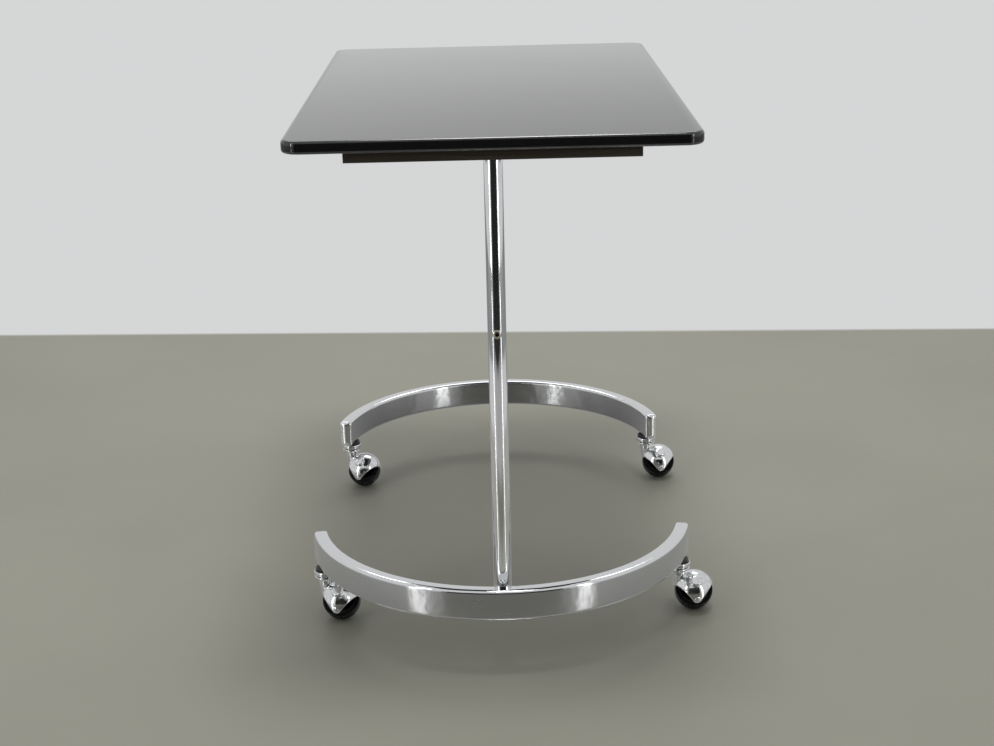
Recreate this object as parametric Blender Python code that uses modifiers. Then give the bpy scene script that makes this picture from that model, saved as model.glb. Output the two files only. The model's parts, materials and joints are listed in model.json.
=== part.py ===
"""Rolling side table: a lacquered top on two chrome posts, two curved feet and four ball casters.

Metres, +Z up. X runs across the table, Y along it. The floor is z = 0, and the origin is the
middle of the whole table's box, seen from above.
"""
from math import asin, cos, degrees, pi, radians, sin, sqrt

import bmesh
import bpy
from mathutils import Matrix, Vector

# Fits
CLEARANCE = 0.0003        # gap between two pieces that seat on each other
RUNNING_CLEARANCE = 0.0007  # gap between the ball and the hood that covers it
MERGE = 0.00001

# Tabletop
TOP_LENGTH = 0.838
TOP_WIDTH = 0.480
TOP_THICKNESS = 0.0155
TOP_HEIGHT = 0.663
TOP_CORNER_RADIUS = 0.022
TOP_EDGE_RADIUS = 0.0065
TOP_CORNER_STEPS = 5
TOP_EDGE_STEPS = 3

# Rails under the tabletop, one at each end
RAIL_LENGTH = 0.340
RAIL_DEPTH = 0.026
RAIL_THICKNESS = 0.0125
RAIL_EDGE_RADIUS = 0.0010
RAIL_SCREW_INSET = 0.040  # from the end of the rail to its screw

# Posts
POST_DIAMETER = 0.022
POST_WALL = 0.0015
POST_BOTTOM = 0.080
POST_INSET = 0.0251       # from the end of the top to the axis of its post
POST_INSERT_LENGTH = 0.018
POST_PLUG_LENGTH = 0.012
POST_PLUG_FLANGE = 0.002
ROUND_STEPS = 24
INSERT_STEPS = 16

# Stretcher between the posts
STRETCHER_HEIGHT = 0.429
STRETCHER_DIAMETER = 0.019
STRETCHER_WALL = 0.0015
STRETCHER_INSERT_LENGTH = 0.020

# Curved feet: a flat-sided tube bent to an arc
FOOT_RADIUS = 0.252       # outer face of the bend
FOOT_BAR_HEIGHT = 0.040
FOOT_BAR_THICKNESS = 0.019
FOOT_BAR_WALL = 0.0015
FOOT_BAR_CORNER = 0.0050
FOOT_CORNER_STEPS = 2
FOOT_HALF_ANGLE = 78.5    # degrees from the post to each end
FOOT_BOTTOM = 0.072
FOOT_STEPS = 28
FOOT_CAP_LENGTH = 0.006
FOOT_CAP_SPIGOT = 0.008
FOOT_CAP_EDGE = 0.0035
FOOT_CAP_PLAY = 0.0008    # side play of the straight spigot in the bent bar

# Saddles that join the posts to the feet
SADDLE_WIDTH = 0.026
SADDLE_HEIGHT = 0.026
SADDLE_WEB = 0.0025
SADDLE_WING = 0.0060      # how far the cheeks reach round the post
SADDLE_BOTTOM = 0.079
SADDLE_EDGE = 0.0010

# Screws
SCREW_SHANK = 0.0060
SCREW_HEAD = 0.0106
SCREW_HEAD_HEIGHT = 0.0033
SCREW_DOME = 0.0016       # rise of the button head above its rim
SCREW_SOCKET = 0.0040     # across the flats
SCREW_SOCKET_DEPTH = 0.0020
SCREW_REACH = 0.016       # how far a machine screw goes into its insert
WOOD_SCREW_SHANK = 0.0045
WOOD_SCREW_HEAD = 0.0090
WOOD_SCREW_BITE = 0.0095  # how far a wood screw goes into the tabletop
POST_SCREW_HEAD = 0.0120
COUNTERSINK_LIP = 0.0006
SCREW_STEPS = 12

# Casters
CASTER_ANGLE = 73.0       # degrees from the post to the stem, round the bend
CASTER_TRAIL = 0.020      # from the stem's axis to the ball's centre
CASTER_YAW_RIGHT = -5.0   # degrees, turned clockwise as seen from above
CASTER_YAW_FRONT_LEFT = 12.0
CASTER_YAW_BACK_LEFT = 20.0
BALL_RADIUS = 0.025
AXLE_TILT = 48.0          # degrees above level
CASTER_STEPS = 20         # round the ball and its hood
PIN_STEPS = 12            # round the stem, the axle and what sits on them

# Ball: a rubber tyre on a dished wheel
TREAD_ABOVE = 60.0        # degrees of the tyre's arc on the hood's side of the tread
TREAD_BELOW = 20.0
TREAD_STEPS_ABOVE = 4
TREAD_STEPS_BELOW = 1
TYRE_THICKNESS = 0.0040
DISH_THICKNESS = 0.0025
DISH_STEPS = 3
HUB_RADIUS = 0.0065
WEB_THICKNESS = 0.0035

# Axle
AXLE_RADIUS = 0.0030
AXLE_HEAD_RADIUS = 0.0055
AXLE_HEAD_THICKNESS = 0.0020
AXLE_END = 0.0245         # from the ball's centre to the end in the hood

# Hood: a spherical shell with a pointed lower edge, a neck and a flange
HOOD_WALL = 0.0016
HOOD_BACK = -0.0040       # back edge, measured along the axle from the ball's centre
HOOD_TIP = 0.0243         # from the axle down to the pointed lower edge
HOOD_EDGE_SLOPE = 53.0    # degrees between the lower edges and level
HOOD_TIP_ROUND = 0.0065
HOOD_STEPS = 5
HOOD_BOSS_RADIUS = 0.0070
HOOD_BOSS_HEIGHT = 0.0035
HOOD_BOSS_EDGE = 0.0010
HOOD_PIVOT_RADIUS = 0.0060
HOOD_PIVOT_END = 0.0130   # from the ball's centre to the face that the hub runs against
NECK_RADIUS = 0.0095
NECK_FOOT_RADIUS = 0.0060
NECK_BOTTOM = 0.033
NECK_TAPER = 0.018
NECK_FILLET = 0.0020
FLANGE_RADIUS = 0.0145
FLANGE_TOP = 0.0606
FLANGE_THICKNESS = 0.0028

# Stem, nut, washer and race cup
STEM_RADIUS = 0.0050
STUD_RADIUS = 0.0030      # threaded upper end of the stem
STEM_CHAMFER = 0.0008
STEM_BOTTOM = 0.050
STEM_ABOVE_NUT = 0.0040
NUT_HEIGHT = 0.0080
WASHER_RADIUS = 0.0126
WASHER_THICKNESS = 0.0050
RACE_RADIUS = 0.0145
RACE_EDGE = 0.0012
RACE_GAP = 0.0010         # dark line between the race cup and the hood's flange

# Worked out from the sizes above
UNDERSIDE = TOP_HEIGHT - TOP_THICKNESS
RAIL_TOP = UNDERSIDE - CLEARANCE
RAIL_BOTTOM = RAIL_TOP - RAIL_THICKNESS
POST_TOP = RAIL_BOTTOM - CLEARANCE
POST_RADIUS = POST_DIAMETER / 2
POST_BORE = POST_RADIUS - POST_WALL
FOOT_TOP = FOOT_BOTTOM + FOOT_BAR_HEIGHT
FOOT_INNER_RADIUS = FOOT_RADIUS - FOOT_BAR_THICKNESS
FOOT_MID_RADIUS = FOOT_RADIUS - FOOT_BAR_THICKNESS / 2
POST_Y = TOP_LENGTH / 2 - POST_INSET
POST_TO_FOOT = POST_RADIUS + SADDLE_WEB + 2 * CLEARANCE
FOOT_CENTRE_Y = POST_Y + POST_TO_FOOT - FOOT_INNER_RADIUS
RAIL_SCREW_X = RAIL_LENGTH / 2 - RAIL_SCREW_INSET
STEM_X = FOOT_MID_RADIUS * sin(radians(CASTER_ANGLE))
HOOD_INNER = BALL_RADIUS + RUNNING_CLEARANCE
HOOD_OUTER = HOOD_INNER + HOOD_WALL
WASHER_TOP = FOOT_BOTTOM - CLEARANCE
WASHER_BOTTOM = WASHER_TOP - WASHER_THICKNESS
RACE_TOP = WASHER_BOTTOM - CLEARANCE
RACE_BOTTOM = FLANGE_TOP + RACE_GAP
NUT_FLATS = FOOT_BAR_THICKNESS - 2 * FOOT_BAR_CORNER
NUT_BOTTOM = FOOT_BOTTOM + FOOT_BAR_WALL + CLEARANCE
DISH_RADIUS = BALL_RADIUS - TYRE_THICKNESS - CLEARANCE
TREAD_RIM = TREAD_ABOVE - AXLE_TILT
TREAD_END = -TREAD_BELOW - AXLE_TILT
HUB_FACE = -DISH_RADIUS * sin(radians(TREAD_END))
REACH_RIGHT = STEM_X + CASTER_TRAIL * cos(radians(CASTER_YAW_RIGHT)) + HOOD_OUTER
REACH_LEFT = FOOT_RADIUS * sin(radians(FOOT_HALF_ANGLE))
FRAME_SHIFT = (REACH_RIGHT - REACH_LEFT) / 2

ENDS = {"front": -1, "back": 1}
SIDES = {"left": -1, "right": 1}
CASTER_YAWS = {
    "front_left": CASTER_YAW_FRONT_LEFT,
    "front_right": CASTER_YAW_RIGHT,
    "back_left": CASTER_YAW_BACK_LEFT,
    "back_right": CASTER_YAW_RIGHT,
}

# Colour, roughness and metallic value of each finish
FINISHES = {
    "black_lacquer": ((0.012, 0.012, 0.013), 0.08, 0.0),
    "dark_enamel": ((0.035, 0.026, 0.022), 0.45, 0.0),
    "chrome": ((0.78, 0.79, 0.80), 0.12, 1.0),
    "satin_chrome": ((0.62, 0.60, 0.57), 0.30, 1.0),
    "zinc_steel": ((0.55, 0.55, 0.54), 0.35, 1.0),
    "black_rubber": ((0.015, 0.015, 0.016), 0.60, 0.0),
    "black_plastic": ((0.022, 0.022, 0.024), 0.45, 0.0),
}


def clear_scene():
    """Empties the file that the script runs in."""
    for old in list(bpy.data.objects):
        bpy.data.objects.remove(old, do_unlink=True)
    for name in ("rolling_side_table", "cutters"):
        if name in bpy.data.collections:
            bpy.data.collections.remove(bpy.data.collections[name])


def new_collection(name):
    """Adds a collection to the scene."""
    collection = bpy.data.collections.new(name)
    bpy.context.scene.collection.children.link(collection)
    return collection


def add_object(name, mesh, finish, parent):
    """Adds a piece in its own material."""
    piece = bpy.data.objects.new(name, mesh)
    bpy.data.collections["rolling_side_table"].objects.link(piece)
    piece.parent = parent
    colour, roughness, metallic = FINISHES[finish]
    material = bpy.data.materials.new(name)
    material.use_nodes = True
    shader = material.node_tree.nodes["Principled BSDF"]
    shader.inputs["Base Color"].default_value = (*colour, 1.0)
    shader.inputs["Roughness"].default_value = roughness
    shader.inputs["Metallic"].default_value = metallic
    mesh.materials.append(material)
    mesh.shade_smooth()
    mesh.set_sharp_from_angle(angle=radians(35))
    return piece


def add_cutter(name, mesh, parent, place=None):
    """Adds a tool body that only cuts or joins, and never shows."""
    cutter = bpy.data.objects.new(name, mesh)
    bpy.data.collections["cutters"].objects.link(cutter)
    cutter.parent = parent
    cutter.hide_render = True
    cutter.display_type = "WIRE"
    if place is not None:
        cutter.matrix_local = place
    return cutter


def boolean(piece, cutter, operation):
    """Cuts a piece with a tool body, joins the two, or keeps what they share."""
    modifier = piece.modifiers.new(cutter.name, "BOOLEAN")
    modifier.operation = operation
    modifier.object = cutter
    modifier.solver = "EXACT"


def screw(piece, steps, angle=2 * pi):
    """Turns a piece's outline about its own Z."""
    modifier = piece.modifiers.new("turn", "SCREW")
    modifier.angle = angle
    modifier.steps = steps
    modifier.render_steps = steps
    modifier.use_merge_vertices = True
    modifier.merge_threshold = MERGE
    modifier.use_smooth_shade = True


def outline_mesh(name, points, closed):
    """A line of edges in the XZ plane."""
    count = len(points)
    edges = [(i, (i + 1) % count) for i in range(count if closed else count - 1)]
    mesh = bpy.data.meshes.new(name)
    mesh.from_pydata([(x, 0, z) for x, z in points], edges, [])
    return mesh


def turned(name, profile, finish, parent, steps=ROUND_STEPS):
    """A turned piece. Its profile runs down the outer side; one that starts off the axis closes."""
    piece = add_object(name, outline_mesh(name, profile, profile[0][0] > 0), finish, parent)
    screw(piece, steps)
    return piece


def turned_cutter(name, profile, parent, place, steps=ROUND_STEPS):
    """A turned tool body."""
    cutter = add_cutter(name, outline_mesh(name, profile, profile[0][0] > 0), parent, place)
    screw(cutter, steps)
    return cutter


def rod(radius, bottom, top):
    """Profile of a plain solid rod."""
    return [(0, top), (radius, top), (radius, bottom), (0, bottom)]


def sleeve(outer, inner, bottom, top):
    """Profile of a plain tube."""
    return [(outer, top), (outer, bottom), (inner, bottom), (inner, top)]


def arc(radius, start, end, steps):
    """Points on an arc about (0, 0), from one angle to another, in degrees above level."""
    angles = [radians(start + (end - start) * i / steps) for i in range(steps + 1)]
    return [(radius * cos(angle), radius * sin(angle)) for angle in angles]


def rounded_rectangle(width, height, radius, steps):
    """Points round a rectangle with round corners, clockwise from its upper right corner."""
    points = []
    corners = [(1, 1, 90), (1, -1, 0), (-1, -1, -90), (-1, 1, -180)]
    for side, level, start in corners:
        centre = (side * (width / 2 - radius), level * (height / 2 - radius))
        for x, z in arc(radius, start, start - 90, steps):
            points.append((centre[0] + x, centre[1] + z))
    return points


def slab_mesh(name, size, corner, corner_steps, edge, edge_steps):
    """A slab with round corners in plan and a rounded upper and lower edge."""
    body = bmesh.new()
    bmesh.ops.create_cube(body, size=1, matrix=Matrix.Diagonal((*size, 1)))
    upright = [e for e in body.edges if abs(e.verts[0].co.z - e.verts[1].co.z) > size[2] / 2]
    bmesh.ops.bevel(body, geom=upright, offset=corner, segments=corner_steps, profile=0.5,
                    affect="EDGES")
    rims = [e for e in body.edges
            if abs(e.verts[0].co.z - e.verts[1].co.z) < MERGE
            and any(abs(f.normal.z) < 0.5 for f in e.link_faces)]
    bmesh.ops.bevel(body, geom=rims, offset=edge, segments=edge_steps, profile=0.5,
                    affect="EDGES")
    mesh = bpy.data.meshes.new(name)
    body.to_mesh(mesh)
    body.free()
    return mesh


def extruded_mesh(name, outline, depth):
    """A flat outline in XY, given an equal depth above and below it."""
    curve = bpy.data.curves.new(name, "CURVE")
    curve.dimensions = "2D"
    curve.fill_mode = "BOTH"
    curve.extrude = depth / 2
    spline = curve.splines.new("POLY")
    spline.points.add(len(outline) - 1)
    for point, (x, y) in zip(spline.points, outline):
        point.co = (x, y, 0, 1)
    spline.use_cyclic_u = True
    holder = bpy.data.objects.new(name, curve)
    bpy.context.scene.collection.objects.link(holder)
    bpy.context.view_layer.update()
    mesh = bpy.data.meshes.new_from_object(holder.evaluated_get(
        bpy.context.evaluated_depsgraph_get()))
    bpy.data.objects.remove(holder)
    bpy.data.curves.remove(curve)
    body = bmesh.new()
    body.from_mesh(mesh)
    bmesh.ops.remove_doubles(body, verts=body.verts, dist=MERGE)
    bmesh.ops.recalc_face_normals(body, faces=body.faces)
    body.to_mesh(mesh)
    body.free()
    return mesh


def along_y(x, y, z, towards):
    """Places a turned piece on its side, its own +Z pointing along +Y or -Y."""
    return Matrix.Translation((x, y, z)) @ Matrix.Rotation(-towards * pi / 2, 4, "X")


def machine_screw_profile(length):
    """Button head above z = 0, shank below it."""
    head = SCREW_HEAD / 2
    rim = SCREW_HEAD_HEIGHT - SCREW_DOME
    dome_radius = (head ** 2 + SCREW_DOME ** 2) / (2 * SCREW_DOME)
    half = degrees(asin(head / dome_radius))
    dome = [(x, z + SCREW_HEAD_HEIGHT - dome_radius) for x, z in arc(dome_radius, 90, 90 - half, 3)]
    dome[0] = (0, SCREW_HEAD_HEIGHT)
    dome[-1] = (head, rim)
    shank = SCREW_SHANK / 2
    return dome + [(head, 0), (shank, 0), (shank, -length), (0, -length)]


def countersunk_profile(head, shank, length):
    """Flat head at z = 0 with a right-angled cone, shank below it."""
    cone = head / 2 - shank / 2
    return [(0, 0), (head / 2, 0), (head / 2, -COUNTERSINK_LIP),
            (shank / 2, -COUNTERSINK_LIP - cone), (shank / 2, -length), (0, -length)]


def hexagon(flats):
    """Corners of a hexagon, from its size across the flats, with one flat towards +X."""
    corner = flats / sqrt(3)
    angles = [(i + 0.5) * pi / 3 for i in range(6)]
    return [(corner * cos(angle), corner * sin(angle)) for angle in angles]


def cut_socket(piece, place, depth):
    """Sinks a hexagonal socket into a screw's head, its mouth at the place given."""
    mesh = extruded_mesh(piece.name + "_socket", hexagon(SCREW_SOCKET), 2 * depth)
    boolean(piece, add_cutter(piece.name + "_socket", mesh, piece.parent, place), "DIFFERENCE")


def build_tabletop(table):
    """The lacquered top, with blind holes for the rail screws."""
    mesh = slab_mesh("tabletop", (TOP_WIDTH, TOP_LENGTH, TOP_THICKNESS), TOP_CORNER_RADIUS,
                     TOP_CORNER_STEPS, TOP_EDGE_RADIUS, TOP_EDGE_STEPS)
    top = add_object("tabletop", mesh, "black_lacquer", table)
    top.location.z = TOP_HEIGHT - TOP_THICKNESS / 2
    return top


def build_rail(end, table, top):
    """The rail under one end of the top, with the screws that hold it."""
    y = ENDS[end] * POST_Y
    mesh = slab_mesh("top_rail_" + end, (RAIL_LENGTH, RAIL_DEPTH, RAIL_THICKNESS),
                     RAIL_EDGE_RADIUS, 1, RAIL_EDGE_RADIUS, 1)
    rail = add_object("top_rail_" + end, mesh, "dark_enamel", table)
    rail.location = (0, y, (RAIL_TOP + RAIL_BOTTOM) / 2)

    screw_length = RAIL_THICKNESS + CLEARANCE + WOOD_SCREW_BITE
    screw_place = Matrix.Rotation(pi, 4, "X")
    grown = countersunk_profile(WOOD_SCREW_HEAD + 2 * CLEARANCE, WOOD_SCREW_SHANK + 2 * CLEARANCE,
                                screw_length + CLEARANCE)
    for side, sign in SIDES.items():
        name = f"rail_screw_{end}_{side}"
        place = Matrix.Translation((sign * RAIL_SCREW_X, y, RAIL_BOTTOM)) @ screw_place
        fixing = turned(name, countersunk_profile(WOOD_SCREW_HEAD, WOOD_SCREW_SHANK, screw_length),
                        "zinc_steel", table, SCREW_STEPS)
        fixing.matrix_local = place
        cut_socket(fixing, place, SCREW_SOCKET_DEPTH)
        hole = turned_cutter(name + "_hole", grown, table, place, SCREW_STEPS)
        boolean(rail, hole, "DIFFERENCE")
        boolean(top, hole, "DIFFERENCE")
    return rail


def build_post(end, table, rail):
    """One post with its inserts, plug and upper screw."""
    y = ENDS[end] * POST_Y
    centre = Matrix.Translation((0, y, 0))
    post = turned("post_" + end, sleeve(POST_RADIUS, POST_BORE, POST_BOTTOM, POST_TOP), "chrome",
                  table)
    post.matrix_local = centre

    fit = POST_BORE - CLEARANCE
    thread = SCREW_SHANK / 2 + CLEARANCE
    insert = turned("post_insert_" + end,
                    sleeve(fit, thread, POST_TOP - POST_INSERT_LENGTH, POST_TOP), "zinc_steel",
                    table, INSERT_STEPS)
    insert.matrix_local = centre

    flange_top = POST_BOTTOM - CLEARANCE
    flange_bottom = flange_top - POST_PLUG_FLANGE
    plug_profile = [(0, POST_BOTTOM + POST_PLUG_LENGTH), (fit, POST_BOTTOM + POST_PLUG_LENGTH),
                    (fit, flange_top), (POST_RADIUS, flange_top),
                    (POST_RADIUS - CLEARANCE, flange_bottom), (0, flange_bottom)]
    plug = turned("post_plug_" + end, plug_profile, "black_plastic", table, INSERT_STEPS)
    plug.matrix_local = centre

    length = RAIL_THICKNESS + SCREW_REACH
    place = Matrix.Translation((0, y, RAIL_TOP))
    fixing = turned("post_screw_" + end, countersunk_profile(POST_SCREW_HEAD, SCREW_SHANK, length),
                    "zinc_steel", table, SCREW_STEPS)
    fixing.matrix_local = place
    cut_socket(fixing, place, SCREW_SOCKET_DEPTH)
    grown = countersunk_profile(POST_SCREW_HEAD + 2 * CLEARANCE, SCREW_SHANK + 2 * CLEARANCE,
                                length)
    hole = turned_cutter(f"post_screw_{end}_hole", grown, table, place, SCREW_STEPS)
    boolean(rail, hole, "DIFFERENCE")
    return post


def build_stretcher(table, posts):
    """The tube between the posts, coped round them and held by a screw at each end."""
    radius = STRETCHER_DIAMETER / 2
    bore = radius - STRETCHER_WALL
    stretcher = turned("stretcher", sleeve(radius, bore, -POST_Y, POST_Y), "chrome", table)
    stretcher.matrix_local = along_y(0, 0, STRETCHER_HEIGHT, 1)

    for end, sign in ENDS.items():
        cope = turned_cutter(f"stretcher_cope_{end}",
                             rod(POST_RADIUS + CLEARANCE, STRETCHER_HEIGHT - POST_DIAMETER,
                                 STRETCHER_HEIGHT + POST_DIAMETER),
                             table, Matrix.Translation((0, sign * POST_Y, 0)))
        boolean(stretcher, cope, "DIFFERENCE")

        seat = POST_Y - POST_RADIUS - CLEARANCE
        insert = turned("stretcher_insert_" + end,
                        sleeve(bore - CLEARANCE, SCREW_SHANK / 2 + CLEARANCE,
                               seat - STRETCHER_INSERT_LENGTH, seat), "zinc_steel", table,
                        INSERT_STEPS)
        insert.matrix_local = along_y(0, 0, STRETCHER_HEIGHT, sign)

        under_head = POST_RADIUS + CLEARANCE
        place = along_y(0, sign * (POST_Y + under_head), STRETCHER_HEIGHT, sign)
        fixing = turned("stretcher_screw_" + end,
                        machine_screw_profile(2 * under_head + SCREW_REACH), "chrome", table,
                        SCREW_STEPS)
        fixing.matrix_local = place
        mouth = place @ Matrix.Translation((0, 0, SCREW_HEAD_HEIGHT))
        cut_socket(fixing, mouth, SCREW_SOCKET_DEPTH)
        hole = turned_cutter(f"stretcher_screw_{end}_hole",
                             rod(SCREW_SHANK / 2 + CLEARANCE, -POST_RADIUS * 3, POST_RADIUS),
                             table, place, SCREW_STEPS)
        boolean(posts[end], hole, "DIFFERENCE")


def foot_frame(end, side, away):
    """A place at floor level under a foot's bend, some degrees away from the post.

    Its own +X points away from the bend's centre and its own +Y along the bar.
    """
    turn = ENDS[end] * (90 - SIDES[side] * away)
    centre = Matrix.Translation((0, ENDS[end] * FOOT_CENTRE_Y, 0))
    return (centre @ Matrix.Rotation(radians(turn), 4, "Z")
            @ Matrix.Translation((FOOT_MID_RADIUS, 0, 0)))


def foot_section(name, grow):
    """The bar's rounded section, out at the bend's radius, larger all round by grow."""
    section = rounded_rectangle(FOOT_BAR_THICKNESS + 2 * grow, FOOT_BAR_HEIGHT + 2 * grow,
                                FOOT_BAR_CORNER + grow, FOOT_CORNER_STEPS)
    return outline_mesh(name, [(FOOT_MID_RADIUS + x, z) for x, z in section], True)


def bend_start(end, height):
    """Places a foot's section at the first end of its bend."""
    start = radians(90 * ENDS[end] - FOOT_HALF_ANGLE)
    return (Matrix.Translation((0, ENDS[end] * FOOT_CENTRE_Y, height))
            @ Matrix.Rotation(start, 4, "Z"))


def build_foot(end, table):
    """One curved foot: the bent bar, its end caps and the saddle of its post."""
    middle = (FOOT_BOTTOM + FOOT_TOP) / 2
    bar = add_object("foot_bar_" + end, foot_section("foot_bar_" + end, 0), "satin_chrome", table)
    bar.matrix_local = bend_start(end, middle)
    screw(bar, FOOT_STEPS, radians(2 * FOOT_HALF_ANGLE))
    wall = bar.modifiers.new("wall", "SOLIDIFY")
    wall.thickness = FOOT_BAR_WALL
    wall.offset = -1
    wall.use_even_offset = True

    for side, sign in SIDES.items():
        place = foot_frame(end, side, FOOT_HALF_ANGLE) @ Matrix.Translation((0, 0, middle))
        outward = Matrix.Rotation(sign * ENDS[end] * pi / 2, 4, "X")
        build_foot_cap(f"foot_cap_{end}_{side}", place @ outward, table)

    build_saddle(end, table, middle)
    return bar


def build_foot_cap(name, facing, table):
    """A rounded cap that closes a bar's end, with a spigot inside the bar."""
    cap_size = (FOOT_BAR_THICKNESS, FOOT_BAR_HEIGHT, 2 * FOOT_CAP_LENGTH)
    mesh = slab_mesh(name, cap_size, FOOT_BAR_CORNER, FOOT_CORNER_STEPS, FOOT_CAP_EDGE, 3)
    cap = add_object(name, mesh, "satin_chrome", table)
    cap.matrix_local = facing

    inset = FOOT_BAR_WALL + FOOT_CAP_PLAY
    root = FOOT_CAP_LENGTH / 2
    spigot_mesh = slab_mesh(name + "_spigot",
                            (FOOT_BAR_THICKNESS - 2 * inset, FOOT_BAR_HEIGHT - 2 * inset,
                             FOOT_CAP_SPIGOT + root),
                            FOOT_BAR_CORNER - inset, 1, FOOT_CAP_PLAY, 1)
    keep = extruded_mesh(name + "_half", [(-FOOT_BAR_HEIGHT, -FOOT_BAR_HEIGHT),
                                          (FOOT_BAR_HEIGHT, -FOOT_BAR_HEIGHT),
                                          (FOOT_BAR_HEIGHT, FOOT_BAR_HEIGHT),
                                          (-FOOT_BAR_HEIGHT, FOOT_BAR_HEIGHT)],
                         2 * FOOT_CAP_LENGTH)
    half = add_cutter(name + "_half", keep, table,
                      facing @ Matrix.Translation((0, 0, CLEARANCE + FOOT_CAP_LENGTH)))
    boolean(cap, half, "INTERSECT")
    seated = facing @ Matrix.Translation((0, 0, (root - FOOT_CAP_SPIGOT) / 2))
    boolean(cap, add_cutter(name + "_spigot", spigot_mesh, table, seated), "UNION")


def build_saddle(end, table, middle):
    """The pad between a post and the inside of its foot, hollowed to fit both."""
    back = FOOT_CENTRE_Y + FOOT_INNER_RADIUS
    reach = SADDLE_WEB + SADDLE_WING + 2 * CLEARANCE
    waste = FOOT_BAR_WALL / 4
    mesh = slab_mesh("post_saddle_" + end, (SADDLE_WIDTH, reach + waste, SADDLE_HEIGHT),
                     SADDLE_EDGE, 1, SADDLE_EDGE, 1)
    saddle = add_object("post_saddle_" + end, mesh, "chrome", table)
    height = SADDLE_BOTTOM + SADDLE_HEIGHT / 2
    saddle.location = (0, ENDS[end] * (back + (waste - reach) / 2), height)

    room = add_cutter(f"post_saddle_{end}_bend",
                      foot_section(f"post_saddle_{end}_bend", CLEARANCE), table,
                      bend_start(end, middle))
    screw(room, FOOT_STEPS, radians(2 * FOOT_HALF_ANGLE))
    skin = room.modifiers.new("skin", "SOLIDIFY")
    skin.thickness = FOOT_BAR_WALL
    skin.offset = -1
    skin.use_even_offset = True
    boolean(saddle, room, "DIFFERENCE")
    groove = turned_cutter(f"post_saddle_{end}_groove",
                           rod(POST_RADIUS + CLEARANCE, SADDLE_BOTTOM - SADDLE_WEB,
                               SADDLE_BOTTOM + SADDLE_HEIGHT + SADDLE_WEB),
                           table, Matrix.Translation((0, ENDS[end] * POST_Y, 0)))
    boolean(saddle, groove, "DIFFERENCE")


def build_caster(end, side, table, bar):
    """One ball caster: stem, nut, washer and race cup fixed; hood and axle turn; the ball rolls."""
    tag = f"{end}_{side}"
    fixed = foot_frame(end, side, CASTER_ANGLE)
    build_stem(tag, table, fixed, bar)

    swivel = bpy.data.objects.new("caster_" + tag, None)
    bpy.data.collections["rolling_side_table"].objects.link(swivel)
    swivel.parent = table
    swivel.matrix_local = (Matrix.Translation(fixed.translation)
                           @ Matrix.Rotation(radians(-CASTER_YAWS[tag]), 4, "Z"))

    ball = (Matrix.Translation((CASTER_TRAIL, 0, BALL_RADIUS))
            @ Matrix.Rotation(pi / 2 - radians(AXLE_TILT), 4, "X"))
    build_hood(tag, swivel, ball)
    build_wheel(tag, swivel, ball)


def build_stem(tag, table, fixed, bar):
    """The pieces of a caster that stay fixed to the foot."""
    stem_top = NUT_BOTTOM + NUT_HEIGHT + STEM_ABOVE_NUT
    profile = [(0, stem_top), (STUD_RADIUS - STEM_CHAMFER, stem_top),
               (STUD_RADIUS, stem_top - STEM_CHAMFER), (STUD_RADIUS, RACE_TOP),
               (STEM_RADIUS, RACE_TOP), (STEM_RADIUS, STEM_BOTTOM + STEM_CHAMFER),
               (STEM_RADIUS - STEM_CHAMFER, STEM_BOTTOM), (0, STEM_BOTTOM)]
    turned("stem_" + tag, profile, "zinc_steel", table, PIN_STEPS).matrix_local = fixed

    stem_bore = STEM_RADIUS + CLEARANCE
    stud_bore = STUD_RADIUS + CLEARANCE
    nut_middle = Matrix.Translation((0, 0, NUT_BOTTOM + NUT_HEIGHT / 2))
    nut = add_object("stem_nut_" + tag, extruded_mesh("stem_nut_" + tag, hexagon(NUT_FLATS),
                                                      NUT_HEIGHT), "zinc_steel", table)
    nut.matrix_local = fixed @ nut_middle
    washer_profile = sleeve(WASHER_RADIUS, stud_bore, WASHER_BOTTOM, WASHER_TOP)
    turned("washer_" + tag, washer_profile, "black_plastic", table,
           PIN_STEPS).matrix_local = fixed
    race_profile = [(RACE_RADIUS - RACE_EDGE, RACE_TOP), (RACE_RADIUS, RACE_TOP - RACE_EDGE),
                    (RACE_RADIUS, RACE_BOTTOM), (stem_bore, RACE_BOTTOM), (stem_bore, RACE_TOP)]
    turned("race_cup_" + tag, race_profile, "chrome", table, PIN_STEPS).matrix_local = fixed

    hole = turned_cutter(f"stem_{tag}_hole", rod(stud_bore, WASHER_BOTTOM, stem_top), table,
                         fixed, PIN_STEPS)
    boolean(nut, hole, "DIFFERENCE")
    boolean(bar, hole, "DIFFERENCE")


def hood_outline():
    """The hood seen along its axle: a wide top and two straight edges down to a round point."""
    slope = radians(HOOD_EDGE_SLOPE)
    half_width = 2 * HOOD_OUTER
    crown = HOOD_TIP_ROUND / cos(slope)
    tip = arc(HOOD_TIP_ROUND, -90 - HOOD_EDGE_SLOPE, -90 + HOOD_EDGE_SLOPE, 4)
    points = [(x, y - HOOD_TIP + HOOD_TIP_ROUND) for x, y in tip]
    edge_y = half_width * sin(slope) / cos(slope) - HOOD_TIP + HOOD_TIP_ROUND - crown
    points += [(half_width, edge_y), (half_width, edge_y + half_width),
               (-half_width, edge_y + half_width), (-half_width, edge_y)]
    return points


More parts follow.
